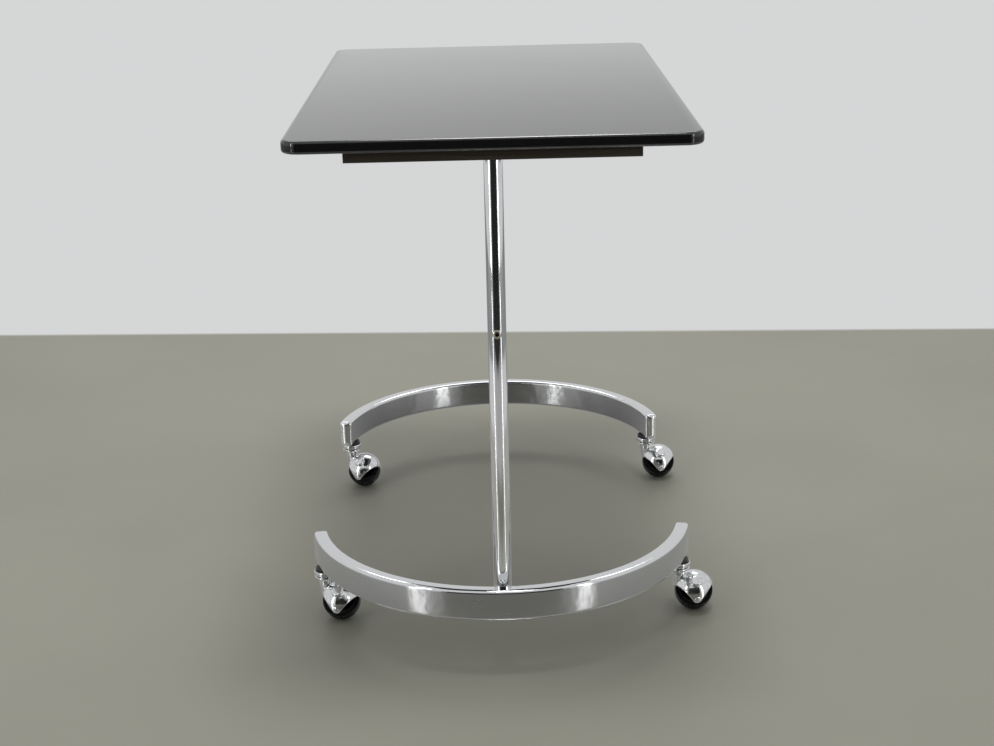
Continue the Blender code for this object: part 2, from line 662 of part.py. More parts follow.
def build_hood(tag, swivel, ball):
    """The hood over the ball, with its neck, flange and pivot."""
    boss_top = HOOD_OUTER + HOOD_BOSS_HEIGHT
    boss_foot = degrees(asin(HOOD_BOSS_RADIUS / HOOD_OUTER))
    pivot_foot = degrees(asin(HOOD_PIVOT_RADIUS / HOOD_INNER))
    bore = AXLE_RADIUS + CLEARANCE
    outer_back = degrees(asin(HOOD_BACK / HOOD_OUTER))
    inner_back = degrees(asin(HOOD_BACK / HOOD_INNER))
    profile = [(0, boss_top), (HOOD_BOSS_RADIUS - HOOD_BOSS_EDGE, boss_top),
               (HOOD_BOSS_RADIUS, boss_top - HOOD_BOSS_EDGE)]
    profile += arc(HOOD_OUTER, 90 - boss_foot, outer_back, HOOD_STEPS)
    profile += arc(HOOD_INNER, inner_back, 90 - pivot_foot, HOOD_STEPS)
    profile += [(HOOD_PIVOT_RADIUS, HOOD_PIVOT_END), (bore, HOOD_PIVOT_END),
                (bore, AXLE_END + CLEARANCE), (0, AXLE_END + CLEARANCE)]
    hood = turned("hood_" + tag, profile, "chrome", swivel, CASTER_STEPS)
    hood.matrix_local = ball
    outline = add_cutter(f"hood_{tag}_outline",
                         extruded_mesh(f"hood_{tag}_outline", hood_outline(), 4 * HOOD_OUTER),
                         swivel, ball)
    boolean(hood, outline, "INTERSECT")

    neck_top = FLANGE_TOP - FLANGE_THICKNESS
    neck_profile = [(0, FLANGE_TOP), (FLANGE_RADIUS, FLANGE_TOP), (FLANGE_RADIUS, neck_top),
                    (NECK_RADIUS + NECK_FILLET, neck_top), (NECK_RADIUS, neck_top - NECK_FILLET),
                    (NECK_RADIUS, NECK_BOTTOM + NECK_TAPER), (NECK_FOOT_RADIUS, NECK_BOTTOM),
                    (0, NECK_BOTTOM)]
    neck = turned_cutter(f"hood_{tag}_neck", neck_profile, swivel, Matrix.Identity(4),
                         PIN_STEPS)
    room = HOOD_INNER + HOOD_WALL / 3
    room_profile = arc(room, 90, -90, CASTER_STEPS // 2)
    room_profile[0] = (0, room)
    room_profile[-1] = (0, -room)
    boolean(neck, turned_cutter(f"hood_{tag}_room", room_profile, swivel, ball, CASTER_STEPS),
            "DIFFERENCE")
    boolean(hood, neck, "UNION")
    socket = turned_cutter(f"hood_{tag}_socket",
                           rod(STEM_RADIUS + CLEARANCE, STEM_BOTTOM - CLEARANCE, RACE_TOP),
                           swivel, Matrix.Identity(4), PIN_STEPS)
    boolean(hood, socket, "DIFFERENCE")


def build_wheel(tag, swivel, ball):
    """The axle, and the dished wheel and tyre that turn on it."""
    under_wheel = -HUB_FACE - CLEARANCE
    head_bottom = under_wheel - AXLE_HEAD_THICKNESS
    axle_profile = [(0, AXLE_END), (AXLE_RADIUS, AXLE_END), (AXLE_RADIUS, under_wheel),
                    (AXLE_HEAD_RADIUS, under_wheel), (AXLE_HEAD_RADIUS, head_bottom),
                    (0, head_bottom)]
    turned("axle_" + tag, axle_profile, "zinc_steel", swivel, PIN_STEPS).matrix_local = ball

    wheel = bpy.data.objects.new("wheel_" + tag, None)
    bpy.data.collections["rolling_side_table"].objects.link(wheel)
    wheel.parent = swivel
    wheel.matrix_local = ball

    tread = arc(BALL_RADIUS, TREAD_RIM, -AXLE_TILT, TREAD_STEPS_ABOVE)
    tread += arc(BALL_RADIUS, -AXLE_TILT, TREAD_END, TREAD_STEPS_BELOW)[1:]
    inside = arc(BALL_RADIUS - TYRE_THICKNESS, TREAD_END, TREAD_RIM, DISH_STEPS)
    turned("tyre_" + tag, tread + inside, "black_rubber", wheel, CASTER_STEPS)

    dish_inner = DISH_RADIUS - DISH_THICKNESS
    web_inner = HUB_FACE - WEB_THICKNESS
    hub_top = HOOD_PIVOT_END - CLEARANCE
    profile = arc(DISH_RADIUS, TREAD_RIM, TREAD_END, DISH_STEPS)
    profile += [(AXLE_RADIUS + CLEARANCE, -HUB_FACE), (AXLE_RADIUS + CLEARANCE, hub_top),
                (HUB_RADIUS, hub_top), (HUB_RADIUS, -web_inner)]
    profile += arc(dish_inner, -degrees(asin(web_inner / dish_inner)), TREAD_RIM, DISH_STEPS)
    turned("wheel_hub_" + tag, profile, "black_plastic", wheel, CASTER_STEPS)


def build_table():
    """The whole table, hung from one empty that centres it on the origin."""
    table = bpy.data.objects.new("table", None)
    bpy.data.collections["rolling_side_table"].objects.link(table)
    table.location = Vector((-FRAME_SHIFT, 0, 0))
    top = build_tabletop(table)
    posts = {}
    for end in ENDS:
        rail = build_rail(end, table, top)
        posts[end] = build_post(end, table, rail)
    build_stretcher(table, posts)
    for end in ENDS:
        bar = build_foot(end, table)
        for side in SIDES:
            build_caster(end, side, table, bar)


clear_scene()
new_collection("rolling_side_table")
new_collection("cutters")
build_table()
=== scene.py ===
"""Looks of the rolling side table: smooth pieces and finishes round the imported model."""
import json
from contextlib import contextmanager
from math import asin, cos, degrees, pi, radians, sin, sqrt, tan

import bmesh
import bpy
from mathutils import Matrix, Vector


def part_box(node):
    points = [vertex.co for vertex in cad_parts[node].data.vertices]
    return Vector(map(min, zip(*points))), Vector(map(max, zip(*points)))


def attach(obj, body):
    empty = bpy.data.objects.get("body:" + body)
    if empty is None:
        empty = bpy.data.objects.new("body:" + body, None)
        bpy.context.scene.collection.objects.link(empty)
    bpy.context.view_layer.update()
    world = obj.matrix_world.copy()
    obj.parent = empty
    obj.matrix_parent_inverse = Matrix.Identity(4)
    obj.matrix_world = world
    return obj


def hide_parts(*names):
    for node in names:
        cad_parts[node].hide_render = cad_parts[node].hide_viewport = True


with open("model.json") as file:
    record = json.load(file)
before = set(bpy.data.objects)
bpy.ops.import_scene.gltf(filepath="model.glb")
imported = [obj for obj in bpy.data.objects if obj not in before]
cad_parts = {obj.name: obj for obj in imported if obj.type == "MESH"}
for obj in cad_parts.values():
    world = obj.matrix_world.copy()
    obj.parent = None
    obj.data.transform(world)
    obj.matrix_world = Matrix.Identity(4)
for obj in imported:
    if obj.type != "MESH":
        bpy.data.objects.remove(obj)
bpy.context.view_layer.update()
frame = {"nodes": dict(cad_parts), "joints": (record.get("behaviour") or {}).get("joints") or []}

bl_info = {
    "name": "Rolling side table",
    "version": (1, 0, 0),
    "blender": (4, 5, 0),
    "location": "3D view > Sidebar > Table",
    "description": "Lacquered table on chrome posts, curved feet and ball casters",
    "category": "Object",
}

ENDS = ("front", "back")
SIDES = ("left", "right")
CORNERS = [(end, side) for end in ENDS for side in SIDES]
MM = 0.001
MERGE = 1e-6
HOLE = 3.3 * MM         # radius of the holes for the screws, stems and axles
STEM_ROOM = 5.3 * MM    # radius of the room round a stem


def middle(node):
    """Middle of a CAD node's box."""
    low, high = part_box(node)
    return (Vector(low) + Vector(high)) / 2


def span(node):
    """Size of a CAD node's box."""
    low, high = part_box(node)
    return Vector(high) - Vector(low)


def joint(name):
    """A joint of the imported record."""
    return next(entry for entry in frame["joints"] if entry["name"] == name)


# Places and sizes read from the frame
CENTRE_X = middle("post_front").x
TOP_SIZE = span("tabletop")
TOP_MIDDLE = middle("tabletop")
RAIL_SIZE = span("top_rail_front")
POST_RADIUS = span("post_front").x / 2
STRETCHER_RADIUS = span("stretcher").x / 2
BAR_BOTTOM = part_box("foot_bar_front")[0][2]
BAR_HEIGHT = span("foot_bar_front").z
BAR_MIDDLE = BAR_BOTTOM + BAR_HEIGHT / 2
POST_REACH = middle("post_back").y
SCREW_LEVEL = middle("stretcher").z
SCREW_HEAD = span("stretcher_screw_front").x / 2

# Edges of the ball's tread, in degrees from level when its axle stands upright
AXLE_TILT = degrees(asin(joint("wheel_front_left_roll")["axis"][2]))
TREAD_RIM = 60 - AXLE_TILT
TREAD_END = -20 - AXLE_TILT


class TableSizes(bpy.types.PropertyGroup):
    """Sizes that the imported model's boxes do not give."""

    top_corner: bpy.props.FloatProperty(
        name="Top corner", description="Corner radius of the top, seen from above",
        default=22 * MM, unit="LENGTH")
    top_edge: bpy.props.FloatProperty(
        name="Top edge", description="Radius of the top's rounded edge", default=4 * MM,
        unit="LENGTH")
    rail_edge: bpy.props.FloatProperty(
        name="Rail edge", description="Radius of the rail's edges", default=0.8 * MM,
        unit="LENGTH")
    tube_wall: bpy.props.FloatProperty(
        name="Tube wall", description="Wall of the posts, stretcher and feet",
        default=1.5 * MM, unit="LENGTH")
    bar_thickness: bpy.props.FloatProperty(
        name="Foot bar thickness", description="Thickness of the bent bar", default=19 * MM,
        unit="LENGTH")
    bar_corner: bpy.props.FloatProperty(
        name="Foot bar corner", description="Corner radius of the bent bar", default=5 * MM,
        unit="LENGTH")
    bend_radius: bpy.props.FloatProperty(
        name="Bend radius", description="Outer radius of the feet", default=252 * MM,
        unit="LENGTH")
    bend_half: bpy.props.FloatProperty(
        name="Bend half angle", description="Angle from a post to each end of its foot",
        default=radians(78.5), subtype="ANGLE")
    ball_radius: bpy.props.FloatProperty(
        name="Ball radius", description="Radius of the caster's ball", default=25 * MM,
        unit="LENGTH")
    hood_gap: bpy.props.FloatProperty(
        name="Hood gap", description="Gap between the ball and its hood", default=0.7 * MM,
        unit="LENGTH")
    hood_wall: bpy.props.FloatProperty(
        name="Hood wall", description="Wall of the caster's hood", default=1.6 * MM,
        unit="LENGTH")


class TableColours(bpy.types.PropertyGroup):
    """Colours of the finishes."""

    lacquer: bpy.props.FloatVectorProperty(
        name="Lacquer", description="Black of the top", size=3, subtype="COLOR",
        default=(0.010, 0.010, 0.011))
    enamel: bpy.props.FloatVectorProperty(
        name="Enamel", description="Brown-black of the rails", size=3, subtype="COLOR",
        default=(0.032, 0.025, 0.018))
    chrome: bpy.props.FloatVectorProperty(
        name="Chrome", description="Plated tubes and casters", size=3, subtype="COLOR",
        default=(0.80, 0.81, 0.82))
    zinc: bpy.props.FloatVectorProperty(
        name="Zinc", description="Screws, stems and axles", size=3, subtype="COLOR",
        default=(0.56, 0.56, 0.55))
    rubber: bpy.props.FloatVectorProperty(
        name="Rubber", description="Tread of the balls", size=3, subtype="COLOR",
        default=(0.012, 0.012, 0.013))
    plastic: bpy.props.FloatVectorProperty(
        name="Plastic", description="Plugs, washers and wheels", size=3, subtype="COLOR",
        default=(0.020, 0.020, 0.022))
    floor: bpy.props.FloatVectorProperty(
        name="Floor", description="Plain floor", size=3, subtype="COLOR",
        default=(0.305, 0.301, 0.250))
    backdrop: bpy.props.FloatVectorProperty(
        name="Backdrop", description="Pale surroundings", size=3, subtype="COLOR",
        default=(0.74, 0.745, 0.75))
    steel: bpy.props.FloatVectorProperty(
        name="Steel", description="Heads of the stretcher's screws", size=3, subtype="COLOR",
        default=(0.46, 0.42, 0.36))
    card: bpy.props.FloatVectorProperty(
        name="Dark card", description="Card round the floor, which only the plating mirrors",
        size=3, subtype="COLOR", default=(0.035, 0.035, 0.033))
    glare: bpy.props.FloatVectorProperty(
        name="Glare", description="Pale part of the floor, which only the plating mirrors",
        size=3, subtype="COLOR", default=(0.66, 0.65, 0.64))


class Socket:
    """A shader value that is added, multiplied and raised like a number."""

    def __init__(self, tree, link):
        self.tree = tree
        self.link = link

    def math(self, operation, *others):
        """One Math node on this value and others."""
        node = self.tree.nodes.new("ShaderNodeMath")
        node.operation = operation
        for slot, value in enumerate((self, *others)):
            connect(self.tree, value, node.inputs[slot])
        return Socket(self.tree, node.outputs[0])

    def __add__(self, other):
        return self.math("ADD", other)

    __radd__ = __add__

    def __mul__(self, other):
        return self.math("MULTIPLY", other)

    def __sub__(self, other):
        return self.math("SUBTRACT", other)

    def __pow__(self, other):
        return self.math("POWER", other)


def connect(tree, value, target):
    """Links a socket, or sets a number or colour."""
    if isinstance(value, Socket):
        tree.links.new(value.link, target)
    elif isinstance(value, (tuple, list)) and len(value) == 3 and len(target.default_value) == 4:
        target.default_value = (*value, 1)
    else:
        target.default_value = value


class Finish:
    """A material under construction."""

    def __init__(self, name):
        self.material = bpy.data.materials.new(name)
        self.material.use_nodes = True
        self.tree = self.material.node_tree
        self.shader = self.tree.nodes["Principled BSDF"]

    def node(self, kind, output=0, settings=None, **inputs):
        """Adds a node with its settings and inputs, and returns one of its outputs."""
        node = self.tree.nodes.new("ShaderNode" + kind)
        for key, value in (settings or {}).items():
            setattr(node, key, value)
        for key, value in inputs.items():
            connect(self.tree, value, node.inputs[key.replace("_", " ")])
        return Socket(self.tree, node.outputs[output])

    def place(self):
        """Object coordinates."""
        return self.node("TexCoord", "Object")

    def axes(self):
        """The three Object coordinates as numbers."""
        split = self.tree.nodes.new("ShaderNodeSeparateXYZ")
        connect(self.tree, self.place(), split.inputs[0])
        return [Socket(self.tree, out) for out in split.outputs]

    def vector(self, x, y, z):
        """A vector of three numbers."""
        return self.node("CombineXYZ", X=x, Y=y, Z=z)

    def noise(self, where, scale=1.0, detail=2.0, roughness=0.5):
        """Noise about 0.5, with about scale waves to each unit of where."""
        return self.node("TexNoise", "Fac", Vector=where, Scale=scale, Detail=detail,
                         Roughness=roughness)

    def between(self, value, low, high):
        """0 below low, 1 above high, and smooth between them."""
        return self.node("MapRange", settings={"interpolation_type": "SMOOTHSTEP"}, Value=value,
                         From_Min=low, From_Max=high)

    def mix(self, factor, first, second):
        """A mix of two colours."""
        node = self.tree.nodes.new("ShaderNodeMix")
        node.data_type = "RGBA"
        connect(self.tree, factor, node.inputs["Factor"])
        connect(self.tree, first, node.inputs[6])
        connect(self.tree, second, node.inputs[7])
        return Socket(self.tree, node.outputs[2])

    def bump(self, height, distance):
        """A normal from a height, whose step from 0 to 1 is distance metres."""
        return self.node("Bump", Height=height, Distance=distance)

    def set(self, **values):
        """Sets the surface shader's own sockets."""
        for key, value in values.items():
            connect(self.tree, value, self.shader.inputs[key.replace("_", " ")])
        return self.material


def shaded(colour, factor):
    """The colour times a factor."""
    return tuple(c * factor for c in colour)


def lacquer_finish(name, colour):
    """Hard gloss lacquer with a little dust and faint rubbing marks."""
    look = Finish(name)
    x, y, z = look.axes()
    cloud = look.noise(look.place(), scale=7, detail=4)
    wipes = look.noise(look.vector(x * 60, y * 3, z * 60))
    dust = look.between(look.noise(look.place(), scale=900, detail=1), 0.72, 0.80)
    rough = 0.07 + look.between(cloud, 0.4, 0.7) * 0.035 + look.between(wipes, 0.5, 0.75) * 0.02
    dust_grey = (0.16, 0.16, 0.155)
    shade = look.mix(dust * 0.25, colour, dust_grey)
    ripple = look.noise(look.place(), scale=9, detail=1)
    return look.set(Base_Color=shade, Roughness=rough, IOR=1.55, Coat_Weight=0.45,
                    Coat_IOR=1.5, Coat_Roughness=0.07, Normal=look.bump(ripple, 0.00006))


def chrome_finish(name, colour, roughness, waves_scale):
    """Bright plate with fine wiping marks and a slight haze."""
    look = Finish(name)
    x, y, z = look.axes()
    haze = look.noise(look.place(), scale=35, detail=3)
    marks = look.noise(look.vector(x * 900, y * 900, z * 160))
    rough = roughness + look.between(haze, 0.45, 0.75) * 0.04 \
        + look.between(marks, 0.55, 0.8) * 0.04
    tint = look.mix(look.between(haze, 0.4, 0.8), colour, shaded(colour, 0.93))
    waves = look.noise(look.place(), scale=waves_scale, detail=1)
    return look.set(Base_Color=tint, Roughness=rough, Metallic=1.0,
                    Normal=look.bump(marks * 0.02 + waves, 0.00012))


def worn_chrome_finish(name, colour):
    """Bright plate, clouded and scuffed by use."""
    look = Finish(name)
    cloud = look.noise(look.place(), scale=85, detail=4)
    scuffs = look.between(look.noise(look.place(), scale=260, detail=4, roughness=0.6), 0.48, 0.68)
    rough = 0.07 + look.between(cloud, 0.4, 0.7) * 0.08 + scuffs * 0.12
    tint = look.mix(scuffs, colour, shaded(colour, 0.8))
    waves = look.noise(look.place(), scale=60, detail=1)
    return look.set(Base_Color=tint, Roughness=rough, Metallic=1.0,
                    Normal=look.bump(waves + scuffs * 0.05, 0.00012))


def brushed_finish(name, colour, bend_y):
    """Plate on a bent bar: bright over its top and corners, brushed along its upright faces, whose
    darker plate colour is painted shade.
    """
    look = Finish(name)
    x, y, z = look.axes()
    across = x - CENTRE_X
    along = y - bend_y
    radius = (across * across + along * along).math("SQRT")
    angle = along.math("ARCTAN2", across)
    from_middle = (z - BAR_MIDDLE).math("ABSOLUTE")
    # The brushing starts 2.2 to 4.6 mm in from the bar's upper and lower edges
    edge = BAR_HEIGHT / 2
    upright = look.between(from_middle, edge - 2.2 * MM, edge - 4.6 * MM)
    lines = look.noise(look.vector(angle * 5, z * 3200, radius * 3200), roughness=0.6)
    bands = look.noise(look.vector(angle * 2, z * 500, radius * 500))
    waves = look.noise(look.vector(angle * 9, z * 30, radius * 30))
    haze = look.noise(look.place(), scale=26, detail=3)
    brushing = 0.16 + look.between(bands, 0.35, 0.7) * 0.03
    rough = 0.07 + look.between(haze, 0.3, 0.8) * 0.02 + upright * brushing
    # Painted shade: the upright faces take a darker copy of the plate colour than the top and corners
    satin_painted_shade = shaded(colour, 0.64)
    brushed = look.mix(look.between(bands, 0.3, 0.7), satin_painted_shade, shaded(satin_painted_shade, 0.97))
    tint = look.mix(upright, colour, brushed)
    height = lines * upright * 0.005 + waves
    return look.set(Base_Color=tint, Roughness=rough, Metallic=1.0, Anisotropic=0.85,
                    Anisotropic_Rotation=0.25, Normal=look.bump(height, 0.0008))


def screw_finish(name, colour):
    """Dull steel, with painted shade and some grime down in the socket."""
    look = Finish(name)
    x, _, z = look.axes()
    across = x - CENTRE_X
    up = z - SCREW_LEVEL
    radius = (across * across + up * up).math("SQRT")
    # Painted shade with some grime: the socket's middle turns near-black and rougher
    socket = look.between(radius, 2.7 * MM, 2.0 * MM)
    blotch = look.between(look.noise(look.place(), scale=300, detail=3), 0.35, 0.7)
    tint = look.mix(blotch, colour, shaded(colour, 0.8))
    socket_shade_and_grime = (0.03, 0.026, 0.022)
    rough = 0.20 + blotch * 0.12 + socket * 0.4
    return look.set(Base_Color=look.mix(socket, tint, socket_shade_and_grime), Roughness=rough, Metallic=1.0,
                    Normal=look.bump(blotch, 0.00002))


def enamel_finish(name, colour):
    """Satin enamel with the slight orange peel of sprayed paint."""
    look = Finish(name)
    x, y, z = look.axes()
    peel = look.noise(look.place(), scale=420)
    streak = look.noise(look.vector(x * 8, y * 500, z * 500))
    shade = look.mix(look.between(streak, 0.35, 0.7), colour, shaded(colour, 1.5))
    rough = 0.32 + look.between(peel, 0.4, 0.7) * 0.12
    return look.set(Base_Color=shade, Roughness=rough, Normal=look.bump(peel, 0.00003))


def zinc_finish(name, colour):
    """Dull zinc plate with blotches."""
    look = Finish(name)
    blotch = look.noise(look.place(), scale=260, detail=4)
    tint = look.mix(look.between(blotch, 0.35, 0.7), colour, shaded(colour, 0.8))
    rough = 0.28 + look.between(blotch, 0.3, 0.7) * 0.14
    return look.set(Base_Color=tint, Roughness=rough, Metallic=1.0,
                    Normal=look.bump(blotch, 0.00002))


def rubber_finish(name, colour):
    """Hard black tread, scuffed and a little dusty."""
    look = Finish(name)
    grain = look.noise(look.place(), scale=1500)
    scuff = look.noise(look.place(), scale=120, detail=4)
    dusty = look.between(scuff, 0.50, 0.72)
    dust_brown = (0.075, 0.070, 0.062)
    shade = look.mix(dusty * 0.25, colour, dust_brown)
    rough = 0.26 + dusty * 0.25
    return look.set(Base_Color=shade, Roughness=rough, Specular_IOR_Level=0.25,
                    Normal=look.bump(grain, 0.000015))


def plastic_finish(name, colour):
    """Moulded black plastic with a fine grain."""
    look = Finish(name)
    grain = look.noise(look.place(), scale=1100)
    cloud = look.noise(look.place(), scale=90, detail=3)
    shade = look.mix(look.between(cloud, 0.4, 0.7), colour, shaded(colour, 1.6))
    rough = 0.38 + look.between(grain, 0.35, 0.7) * 0.15
    return look.set(Base_Color=shade, Roughness=rough, Normal=look.bump(grain, 0.00002))


def deselect():
    """Leaves nothing selected."""
    bpy.ops.object.select_all(action="DESELECT")


def choose(piece):
    """Selects one piece and makes it active."""
    deselect()
    bpy.context.view_layer.objects.active = piece
    piece.select_set(True)


@contextmanager
def editing(piece):
    """Edit mode on one piece."""
    choose(piece)
    bpy.ops.object.mode_set(mode="EDIT")
    yield
    bpy.ops.object.mode_set(mode="OBJECT")


def pick(piece, kind, test):
    """Selects the vertices, edges or faces that pass a test, in edit mode."""
    bpy.ops.mesh.select_mode(type=kind)
    bpy.ops.mesh.select_all(action="DESELECT")
    body = bmesh.from_edit_mesh(piece.data)
    for item in {"VERT": body.verts, "EDGE": body.edges, "FACE": body.faces}[kind]:
        item.select_set(test(item))
    body.select_flush_mode()
    bmesh.update_edit_mesh(piece.data)


def centre_of(item):
    """Middle of an edge or face."""
    return sum((v.co for v in item.verts), Vector()) / len(item.verts)


def modify(piece, kind, **settings):
    """Adds a modifier and applies it."""
    modifier = piece.modifiers.new(kind.lower(), kind)
    for key, value in settings.items():
        setattr(modifier, key, value)
    choose(piece)
    bpy.ops.object.modifier_apply(modifier=modifier.name)


def carve(piece, tool, operation="DIFFERENCE", solver="EXACT"):
    """Cuts, joins or intersects a piece with a tool, which is then deleted."""
    modify(piece, "BOOLEAN", object=tool, operation=operation, solver=solver)
    bpy.data.objects.remove(tool)


def move_into_mesh(piece, place):
    """Puts a piece in its place, with the place in its mesh."""
    choose(piece)
    piece.matrix_world = place
    bpy.ops.object.transform_apply(location=True, rotation=True, scale=True)


def trace(points):
    """In edit mode, shrinks the piece to one point and extrudes it along the points."""
    bpy.ops.mesh.select_mode(type="VERT")
    bpy.ops.mesh.select_all(action="SELECT")
    bpy.ops.mesh.merge(type="CENTER")
    bpy.ops.transform.translate(value=points[0])
    for start, end in zip(points, points[1:]):
        step = tuple(b - a for a, b in zip(start, end))
        bpy.ops.mesh.extrude_vertices_move(TRANSFORM_OT_translate={"value": step})
    bpy.ops.mesh.select_all(action="SELECT")


def join_points():
    """In edit mode, merges points that lie on each other."""
    bpy.ops.mesh.select_all(action="SELECT")
    bpy.ops.mesh.remove_doubles(threshold=MERGE)


def face_outward():
    """In edit mode, turns every face outward."""
    bpy.ops.mesh.select_all(action="SELECT")
    bpy.ops.mesh.normals_make_consistent(inside=False)


def turn(name, profile, steps, closed=False):
    """Turns an outline of (radius, height) points about Z."""
    points = list(profile) + ([profile[0]] if closed else [])
    deselect()
    bpy.ops.mesh.primitive_plane_add(size=MM)
    piece = bpy.context.object
    piece.name = name
    with editing(piece):
        trace([(radius, 0, height) for radius, height in points])
        join_points()
        bpy.ops.mesh.select_all(action="SELECT")
        bpy.ops.mesh.spin(steps=steps, angle=2 * pi, center=(0, 0, 0), axis=(0, 0, 1))
        join_points()
        face_outward()
    return piece


def arc(radius, start, end, steps, centre=(0, 0)):
    """Points on an arc, from one angle to another in degrees."""
    angles = [radians(start + (end - start) * i / steps) for i in range(steps + 1)]
    return [(centre[0] + radius * cos(a), centre[1] + radius * sin(a)) for a in angles]


def softened(profile, radius, steps=3, closed=False):
    """The outline with each corner off the axis rounded by up to radius."""
    count = len(profile)
    result = []
    for i, corner in enumerate(profile):
        ends = not closed and i in (0, count - 1)
        here = Vector(corner)
        if ends or here.x < MERGE:
            result.append(tuple(here))
            continue
        before = Vector(profile[i - 1]) - here
        after = Vector(profile[(i + 1) % count]) - here
        reach = min(radius, before.length * 0.45, after.length * 0.45)
        start = here + before.normalized() * reach
        end = here + after.normalized() * reach
        for step in range(steps + 1):
            t = step / steps
            point = start * (1 - t) ** 2 + here * 2 * t * (1 - t) + end * t ** 2
            result.append(tuple(point))
    return result


def slab(name, size, corner, corner_steps, edge, edge_steps):
    """A block with round corners in plan and rounded upper and lower edges."""
    deselect()
    bpy.ops.mesh.primitive_cube_add(size=1, scale=size)
    piece = bpy.context.object
    piece.name = name
    bpy.ops.object.transform_apply(location=True, rotation=True, scale=True)
    half = size[2] / 2
    with editing(piece):
        pick(piece, "EDGE", lambda e: abs(e.verts[0].co.z - e.verts[1].co.z) > half)
        bpy.ops.mesh.bevel(offset=corner, segments=corner_steps, profile=0.5, affect="EDGES")
        pick(piece, "EDGE", lambda e: abs(e.verts[0].co.z - e.verts[1].co.z) < MERGE
             and any(abs(f.normal.z) < 0.5 for f in e.link_faces))
        bpy.ops.mesh.bevel(offset=edge, segments=edge_steps, profile=0.5, affect="EDGES")
    return piece


def smooth(piece, angle=30):
    """Smooth shading with creases at edges sharper than the angle, in degrees."""
    choose(piece)
    bpy.ops.object.shade_smooth_by_angle(angle=radians(angle))


def copy_of(piece, name):
    """A copy of a finished piece with its own mesh."""
    twin = piece.copy()
    twin.data = piece.data.copy()
    twin.name = name
    bpy.context.scene.collection.objects.link(twin)
    return twin


def hand_over(piece, body, node, finish):
    """Gives a piece its finish and its body, and hides the CAD node that it stands for."""
    piece.data.materials.clear()
    piece.data.materials.append(finish)
    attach(piece, body)
    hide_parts(node)


def redress(node, finish):
    """Gives a CAD node that shows as it is its finish."""
    data = frame["nodes"][node].data
    data.materials.clear()
    data.materials.append(finish)


def cutter(name, radius, low, high, sides):
    """A tool of many or few sides along Z, between two heights."""
    deselect()
    bpy.ops.mesh.primitive_cylinder_add(vertices=sides, radius=radius, depth=high - low,
                                        location=(0, 0, (high + low) / 2))
    tool = bpy.context.object
    tool.name = name
    bpy.ops.object.transform_apply(location=True, rotation=True, scale=True)
    return tool


def sideways(x, y, z, towards):
    """Lays a turned piece along Y, its own +Z pointing towards +Y or -Y."""
    return Matrix.Translation((x, y, z)) @ Matrix.Rotation(-towards * pi / 2, 4, "X")


class TABLE_OT_top(bpy.types.Operator):
    """The lacquered top."""
    bl_idname = "table.top"
    bl_label = "Top"

    def execute(self, context):
        sizes = context.scene.table_sizes
        top = slab("top_panel", TOP_SIZE, sizes.top_corner, 16, sizes.top_edge, 8)
        move_into_mesh(top, Matrix.Translation(TOP_MIDDLE))
        smooth(top, 25)
        hand_over(top, "root", "tabletop",
                  lacquer_finish("black_lacquer", context.scene.table_colours.lacquer[:]))
        return {"FINISHED"}


class TABLE_OT_rails(bpy.types.Operator):
    """The rails under the top."""
    bl_idname = "table.rails"
    bl_label = "Rails"

    def execute(self, context):
        sizes = context.scene.table_sizes
        finish = enamel_finish("dark_enamel", context.scene.table_colours.enamel[:])
        for end in ENDS:
            node = "top_rail_" + end
            rail = slab("rail_" + end, RAIL_SIZE, sizes.rail_edge, 3, sizes.rail_edge, 3)
            move_into_mesh(rail, Matrix.Translation(middle(node)))
            self.bore(rail, end)
            smooth(rail)
            hand_over(rail, "root", node, finish)
        return {"FINISHED"}

    def bore(self, rail, end):
        """Countersunk holes for the screws, as the CAD rail has them."""
        low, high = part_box("top_rail_" + end)
        place = middle("post_screw_" + end)
        play, depth, steps = 0.2 * MM, 15 * MM, 48
        head = span("post_screw_" + end).x / 2 + play
        tool = turn("bore", [(0, MM), (head + 1.5 * MM, MM), (HOLE, 2.8 * MM - head),
                             (HOLE, -depth), (0, -depth)], steps)
        move_into_mesh(tool, Matrix.Translation((place.x, place.y, high[2])))
        carve(rail, tool, solver="FAST")
        for side in SIDES:
            place = middle(f"rail_screw_{end}_{side}")
            head = span(f"rail_screw_{end}_{side}").x / 2 + play
            shank = 2.5 * MM
            tool = turn("bore", [(0, depth), (shank, depth), (shank, head - 2 * MM),
                                 (head, 0.5 * MM), (head, -MM), (0, -MM)], steps)
            move_into_mesh(tool, Matrix.Translation((place.x, place.y, low[2])))
            carve(rail, tool)


